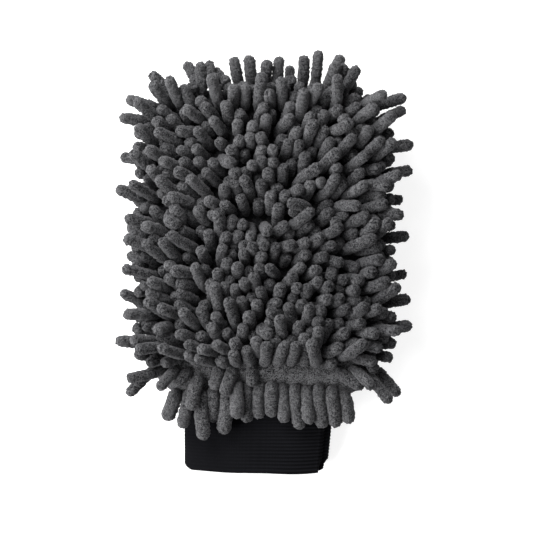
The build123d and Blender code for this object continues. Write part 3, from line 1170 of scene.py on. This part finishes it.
@dataclass
class GroundCloth:
    """The shell's two knitted panels: smooth under the pile, gathered at the neck."""

    thickness: float = 1.3 * MM
    inset: float = 0.15 * MM
    along: int = 90
    across: int = 150
    gathers: int = 13
    gather_depth: float = 0.7 * MM
    gather_start: float = 34 * MM
    ridge: float = 5.5 * MM
    ridge_y: float = -70.5 * MM
    band_y: float = -60 * MM

    def sheet(self, name: str, form: ShellForm, side: Side, finish: Material) -> Piece:
        """Builds one panel.

        Args:
            name: The piece's name.
            form: The shell's outline.
            side: Which face.
            finish: The cloth's material.

        Returns:
            The closed sheet.
        """
        ease = np.linspace(0, 1, self.along)
        y = form.y[0] + (form.y[-1] - form.y[0]) * (1 - (1 - ease) ** 1.35)
        share = np.linspace(-1, 1, self.across)
        yy, ss = np.meshgrid(y, share, indexing="ij")
        near = np.clip(1 - (yy - form.y[0]) / self.gather_start, 0, 1)
        phase = self.gathers * math.pi * ss + 1.7 * np.sin(3.1 * ss + side.value) + 9 * np.sin(yy * 55)
        folds = self.gather_depth * near**1.4 * (np.sin(phase) - 0.55) * (1 - np.abs(ss) ** 6)
        slack = 0.35 * MM * np.sin(yy * 210 + 4 * ss) * np.sin(ss * 17 + yy * 90) * (1 - np.abs(ss) ** 4)
        roll = np.exp(-(((yy - self.ridge_y) / (7.5 * MM)) ** 2)) * (1 - np.abs(ss) ** 4)
        slack = slack + self.ridge * roll * (side is Side.FRONT)
        outer = form.section(yy, ss, side, folds + slack - self.inset)
        inner = form.section(yy, ss, side, folds + slack - self.inset - self.thickness)
        outer[-1, :, 2] = inner[-1, :, 2] = form.middle[-1]
        inner[:, 0, 2] = inner[:, -1, 2] = form.at(y)[2]
        middle = form.at(yy)[2]
        inner[:, :, 2] = np.where(side.value * (inner[:, :, 2] - middle) < 0, middle, inner[:, :, 2])
        layers = np.stack([outer, inner[:, ::-1]], axis=0)
        loop = np.concatenate([layers[0], layers[1]], axis=1)
        rows, columns = loop.shape[:2]
        faces = grid_faces(rows, columns, False, True)
        first = list(range(columns))
        half = columns // 2
        for k in range(half - 1):
            faces.append((first[k + 1], first[k], first[columns - 1 - k], first[columns - 2 - k]))
            base = (rows - 1) * columns
            faces.append((base + k, base + k + 1, base + columns - 2 - k, base + columns - 1 - k))
        piece = new_mesh(name, loop, faces, finish)
        girth = form.girth(y)[:, None] * share[None, :]
        across = np.concatenate([girth, girth[:, ::-1]], axis=1)
        write_uv(piece, np.stack([across, np.concatenate([yy, yy], axis=1)], axis=-1))
        # painted shade: this along mark keeps the ground cloth dark under the pile, where the fingers shade
        # it, and light on the neck band
        plush = np.clip((self.band_y - loop[..., 1]) / (6 * MM), 0, 1) * 12 * MM + 0.4 * MM
        write_mark(piece.data, "along", plush)
        face_outwards(piece)
        return piece

    def build(self, form: ShellForm, finish: Material) -> list[Piece]:
        """Makes both panels."""
        made = []
        for side, node in ((Side.FRONT, "front_panel"), (Side.BACK, "back_panel")):
            piece = self.sheet(f"{node}_ground_cloth", form, side, finish)
            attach(piece, "mitt")
            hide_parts(node)
            made.append(piece)
        return made


@dataclass
class Lining:
    """The bag of thin cloth inside the shell."""

    cloth: GroundCloth = field(
        default_factory=lambda: GroundCloth(
            thickness=0.6 * MM,
            inset=0.05 * MM,
            along=60,
            across=90,
            gathers=15,
            ridge=0.0,
        )
    )

    def build(self, form: ShellForm, finish: Material) -> list[Piece]:
        """Makes both sheets."""
        made = []
        for side, node in ((Side.FRONT, "lining_front"), (Side.BACK, "lining_back")):
            piece = self.cloth.sheet(f"{node}_sheet", form, side, finish)
            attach(piece, "mitt")
            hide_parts(node)
            made.append(piece)
        return made


# ---------------------------------------------------------------- the cuff


@dataclass(frozen=True)
class CuffLine:
    """The cuff's middle line, from the wrist down to the mouth, read off its CAD node."""

    start: Array
    way: Array
    length: float
    half_width: float
    half_height: float

    @classmethod
    def measure(cls) -> "CuffLine":
        """Reads the cuff's slope, length and section."""
        low, high = (np.array(corner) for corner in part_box("cuff_band"))
        tree = node_tree("cuff_band")
        centre = (low[0] + high[0]) / 2
        tops = []
        for y in (low[1] + 0.3 * (high[1] - low[1]), low[1] + 0.7 * (high[1] - low[1])):
            tops.append((y, tree.ray_cast(Vector((centre, y, 1)), Vector((0, 0, -1)))[0].z,
                         tree.ray_cast(Vector((centre, y, -1)), Vector((0, 0, 1)))[0].z))
        (y0, top0, bottom0), (y1, top1, _) = tops
        slope = math.atan2(top1 - top0, y1 - y0)
        half_height = (top0 - bottom0) / 2 * math.cos(slope)
        length = (high[1] - low[1] - 2 * half_height * math.sin(slope)) / math.cos(slope)
        start_y = high[1] - half_height * math.sin(slope)
        start_z = (top0 + bottom0) / 2 + (start_y - y0) * math.tan(slope)
        start = np.array([centre, start_y, start_z])
        way = np.array([0.0, -math.cos(slope), -math.sin(slope)])
        return cls(start, way, length, (high[0] - low[0]) / 2, half_height)

    def height(self, y: Array) -> Array:
        """The height of the cuff's upper face at y, or far below where there is no cuff."""
        slope = self.way[2] / self.way[1]
        top = self.start[2] + (y - self.start[1]) * slope + self.half_height / -self.way[1]
        return np.where(y < self.start[1] + 4 * MM, top, -1.0)


@dataclass
class Cuff:
    """The elastic rib cuff: a soft flattened tube with a folded lip and a seam down its right side."""

    line: CuffLine
    wall: float = 2.0 * MM
    around: int = 190
    rib_pitch: float = 2.25 * MM
    rib_depth: float = 0.22 * MM
    tuck: float = 5.0 * MM
    fin: float = 6.0 * MM
    lip_steps: int = 7

    def section(self, turn: Array, wide: Array, high: Array) -> tuple[Array, Array]:
        """Points of a soft flattened ring, by share of a turn from its right edge over its front."""
        angle = 2 * math.pi * turn
        c, s = np.cos(angle), np.sin(angle)
        x = np.sign(c) * np.abs(c) ** 0.62 * wide
        z = np.sign(s) * np.abs(s) ** 0.86 * high
        return x, z

    def place(self, turn: Array, down: Array, out: Array) -> Array:
        """Points of the tube.

        Args:
            turn: Share of a turn round the section.
            down: How far down from the wrist seam.
            out: How far off the outer surface.

        Returns:
            The points, in the last axis.
        """
        line = self.line
        share = np.clip(down / line.length, -0.2, 1.05)
        wide = line.half_width * (1.025 - 0.045 * share) + out
        high = line.half_height * (0.96 - 0.10 * np.sin(math.pi * np.clip(share, 0, 1))) + out
        x, z = self.section(turn, wide, high)
        fin = ease((x - (wide - self.fin)) / (2.0 * MM)) * ease(share * 12)
        z = z * (1 - 0.80 * fin)
        mouth = np.clip(share, 0, 1) ** 8
        x = x - fin * 2.4 * MM * ease((down - line.length + 7.5 * MM) / (4.0 * MM))
        corner = np.clip((np.abs(x) / line.half_width - 0.86) / 0.12, 0, 1) ** 2
        swing = 1.7 * MM * np.exp(-(((x - 21 * MM) / (20 * MM)) ** 2)) - 0.5 * MM * np.sin(x / (9 * MM))
        front = ease(z / (3 * MM) * 0.5 + 0.5)
        along = down * (1 + 1.2 * MM / line.length) + swing * np.clip(share, 0, 1) ** 2
        along = along - (3.2 * MM * corner + 1.6 * MM * (1 - front)) * mouth
        drift = -(3.2 + 2.2 * share) * MM
        sag = 0.9 * MM * np.sin(x / (17 * MM) + 1.0) * np.clip(share, 0, 1) * front
        across = np.stack([np.ones_like(x), 0 * x, 0 * x], axis=-1)
        up = np.array([0.0, line.way[2], -line.way[1]])
        return (
            line.start
            + across * (x + drift)[..., None]
            + line.way * along[..., None]
            + up * (z + sag)[..., None]
        )

    def build(self, finish: Material) -> Piece:
        """Makes the cuff as one closed tube of cloth."""
        line = self.line
        per_rib = 6
        rings = int((line.length + self.tuck) / self.rib_pitch * per_rib)
        outer = np.linspace(-self.tuck, line.length - self.wall / 2, rings)
        lip = np.linspace(0, math.pi, self.lip_steps + 2)[1:-1]
        lip_down = line.length - self.wall / 2 + self.wall / 2 * np.sin(lip)
        inner = np.linspace(line.length - self.wall / 2, -self.tuck, len(outer) // 2)
        down = np.concatenate([outer, lip_down, inner])
        lip_depth = -self.wall / 2 * (1 - np.cos(lip))
        depth = np.concatenate([0 * outer, lip_depth, np.full(len(inner), -self.wall)])
        turn = np.arange(self.around) / self.around
        dd, tt = np.meshgrid(down, turn, indexing="ij")
        oo = np.repeat(depth[:, None], self.around, axis=1)
        strength = 0.22 + 0.78 * ease(np.cos(2 * math.pi * tt) * 1.1 + 0.45)
        wander = 0.5 * np.sin(2 * math.pi * tt * 2 + 1.3) + 0.25 * np.sin(2 * math.pi * tt * 7)
        ribs = self.rib_depth * strength * np.sin(2 * math.pi * dd / self.rib_pitch + wander)
        seam = np.abs((tt - self.seam_turn() + 0.5) % 1 - 0.5) * 2 * math.pi * line.half_width
        ridge = 0.35 * MM * np.exp(-(((seam - 3.0 * MM) / (1.6 * MM)) ** 2))
        shown = (depth > -self.wall * 0.6).astype(float)[:, None]
        bumps = ribs * np.where(shown > 0, 1.0, -0.6) + ridge * shown
        points = self.place(tt, dd, oo + bumps)
        piece = new_mesh("cuff_rib_tube", points, grid_faces(len(down), self.around, True, True), finish)
        girth = 2 * (2 * line.half_width + (math.pi - 2) * line.half_height)
        write_uv(piece, np.stack([tt * girth, dd], axis=-1))
        write_mark(piece.data, "rib", strength)
        face_outwards(piece)
        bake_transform(piece)
        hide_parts("cuff_band")
        line.length + self.tuck
        LOG.info("cuff: tube of %.0f mm girth and %.0f mm length", girth / MM, line.length / MM)
        return piece

    def seam_turn(self) -> float:
        """Where round the tube its seam runs."""
        edge = ((self.line.half_width - self.fin) / self.line.half_width) ** (1 / 0.62)
        return math.acos(edge) / (2 * math.pi)

    def seam_path(self, count: int = 60) -> Array:
        """The line that the cuff's closing stitches follow."""
        down = np.linspace(0.5 * MM, self.line.length - 1.2 * MM, count)
        return self.place(np.full(count, self.seam_turn()), down, np.full(count, -0.40 * MM))


# ---------------------------------------------------------------- stitches


@dataclass
class Stitching:
    """Rows of stitches laid along a seam by geometry nodes."""

    pitch: float = 2.6 * MM
    length: float = 2.0 * MM
    thickness: float = 0.32 * MM
    slant: float = 0.0

    def tree(self, finish: Material) -> NodeTree:
        """The tree that sets a stitch at each pitch of a path.

        Args:
            finish: The thread's material.

        Returns:
            The geometry tree, with its sizes as inputs.
        """
        values = {
            "Pitch": self.pitch,
            "Length": self.length,
            "Thickness": self.thickness,
            "Slant": self.slant,
        }
        loom, size = geometry_loom("stitch_row", values)
        curve = loom.add("GeometryNodeMeshToCurve", {}, {"Mesh": size["Geometry"]})
        spaced = {"Curve": curve, "Length": size["Pitch"]}
        points = loom.add("GeometryNodeCurveToPoints", {"mode": "LENGTH"}, spaced, "Points")
        rotation = Wire(loom, points.socket.node.outputs["Rotation"])
        ball = loom.add("GeometryNodeMeshUVSphere", {}, {"Segments": 8, "Rings": 6, "Radius": 0.5})
        scale = loom.add(
            "ShaderNodeCombineXYZ", {}, {"X": size["Thickness"], "Y": size["Thickness"], "Z": size["Length"]}
        )
        slant = loom.add("ShaderNodeCombineXYZ", {}, {"Y": size["Slant"]})
        turn = {"Rotation": rotation, "Rotate By": slant}
        turned = loom.add("FunctionNodeRotateRotation", {"rotation_space": "LOCAL"}, turn)
        laid = loom.add(
            "GeometryNodeInstanceOnPoints", {},
            {"Points": points, "Instance": ball, "Rotation": turned, "Scale": scale},
        )
        whole = loom.add("GeometryNodeRealizeInstances", {}, {"Geometry": laid})
        smooth = loom.add("GeometryNodeSetShadeSmooth", {}, {"Geometry": whole})
        dressed = loom.add("GeometryNodeSetMaterial", {}, {"Geometry": smooth, "Material": finish})
        loom.add("NodeGroupOutput", {}, {"Geometry": dressed})
        return loom.tree

    def lay(self, name: str, path: Array, finish: Material, closed: bool = False) -> Piece:
        """Sews a path.

        Args:
            name: The piece's name.
            path: The seam's points.
            finish: The thread's material.
            closed: Whether the path returns to its start.

        Returns:
            The stitches, as a plain mesh.
        """
        edges = [(k, k + 1) for k in range(len(path) - 1)]
        if closed:
            edges.append((len(path) - 1, 0))
        return run_along(name, path, edges, self.tree(finish), {})


@dataclass
class Seams:
    """The four sewn seams."""

    finish: Material

    def build(self, shell: ShellForm, cuff: Cuff) -> list[Piece]:
        """Sews the wrist and the cuff, and dresses the two hidden seams' own threads."""
        wrist = self.wrist(shell)
        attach(wrist, "mitt")
        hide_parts("wrist_seam_thread")
        thread = Stitching(pitch=2.1 * MM, length=2.3 * MM, thickness=0.26 * MM, slant=0.3)
        closing = thread.lay("cuff_seam_stitches", cuff.seam_path(), self.finish)
        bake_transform(closing)
        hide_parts("cuff_seam_thread")
        for node in ("shell_seam_thread", "lining_seam_thread"):
            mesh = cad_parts[node].data
            mesh.materials.clear()
            mesh.materials.append(self.finish)
        LOG.info("seams: wrist and cuff stitched, two hidden threads dressed")
        return [wrist, closing]

    def wrist(self, form: ShellForm) -> Piece:
        """The ring of stitches where the shell joins the cuff."""
        share = np.linspace(-1, 1, 120)
        y = np.full(120, form.y[0] + 1.2 * MM)
        over = form.section(y, share, Side.FRONT, -0.2 * MM)
        under = form.section(y, share[::-1], Side.BACK, -0.2 * MM)[1:-1]
        return Stitching().lay("wrist_seam_stitches", np.concatenate([over, under]), self.finish, closed=True)


# ---------------------------------------------------------------- the studio


@dataclass
class Studio:
    """A pale floor, soft light and a camera straight above the mitt."""

    view_width: float = 0.3455
    distance: float = 2.2
    focus: tuple[float, float, float] = (1.6 * MM, -1.0 * MM, 0.040)
    floor: float = 3.0
    floor_gap: float = 0.2 * MM
    sky: float = 0.50

    def build(self) -> None:
        """Adds the floor, the lights and the camera."""
        self.make_floor()
        self.lamp("overhead", (-0.50, 0.58, 0.70), 0.65, 31.0)
        self.lamp("fill_left", (-0.66, -0.34, 0.46), 0.5, 16.0)
        self.lamp("fill_right", (0.95, -0.15, 0.75), 0.8, 0.5)
        world = bpy.data.worlds.new("studio")
        bpy.context.scene.world = world
        world.use_nodes = True
        shade = world.node_tree.nodes["Background"]
        shade.inputs["Color"].default_value = (1, 1, 1, 1)
        shade.inputs["Strength"].default_value = self.sky
        camera = bpy.data.cameras.new("camera")
        camera.sensor_width = 36.0
        camera.lens = camera.sensor_width * self.distance / self.view_width
        made = bpy.data.objects.new("camera", camera)
        made.location = Vector(self.focus) + Vector((0, 0, self.distance))
        bpy.context.scene.collection.objects.link(made)
        bpy.context.scene.camera = made
        bpy.context.scene.view_settings.view_transform = "Standard"

    def make_floor(self) -> None:
        """A plain pale floor."""
        size = self.floor / 2
        loom = Loom.material("pale_floor")
        surface = {
            "Base Color": (0.38, 0.38, 0.38, 1),
            "Roughness": 0.9,
            "Emission Color": (1, 1, 1, 1),
            "Emission Strength": 0.78,
        }
        corners = [(-size, -size), (size, -size), (size, size), (-size, size)]
        corners = np.array([(x, y, -self.floor_gap) for x, y in corners])
        new_mesh("floor", corners, [(0, 1, 2, 3)], loom.surface(surface))

    def lamp(self, name: str, place: tuple[float, float, float], size: float, power: float) -> None:
        """Adds a soft square lamp aimed at the mitt."""
        light = bpy.data.lights.new(name, "AREA")
        light.size = size
        light.energy = power
        made = bpy.data.objects.new(name, light)
        made.location = place
        made.rotation_euler = (Vector((0, 0, 0.03)) - Vector(place)).to_track_quat("-Z", "Y").to_euler()
        bpy.context.scene.collection.objects.link(made)


def main() -> None:
    """Builds the mitt from the inside out, then the studio."""
    logging.basicConfig(level=logging.INFO, format="%(name)s %(message)s")
    shell = ShellForm.measure("front_panel", "back_panel")
    lining = ShellForm.measure("lining_front", "lining_back")
    cuff_line = CuffLine.measure()
    thin_cloth = ClothFinish("lining_cloth", (0.010, 0.010, 0.011), (0.045, 0.045, 0.047), 0.8 * MM)
    Lining().build(lining, thin_cloth.make())
    GroundCloth().build(shell, ChenilleFinish("ground_plush", plush=(0.100, 0.100, 0.1035)).make())
    Pile().build(shell, cuff_line, ChenilleFinish().make())
    cuff = Cuff(cuff_line)
    Seams(ThreadFinish().make()).build(shell, cuff)
    cuff.build(RibKnitFinish().make())
    Studio().build()


if __name__ == "__main__":
    main()
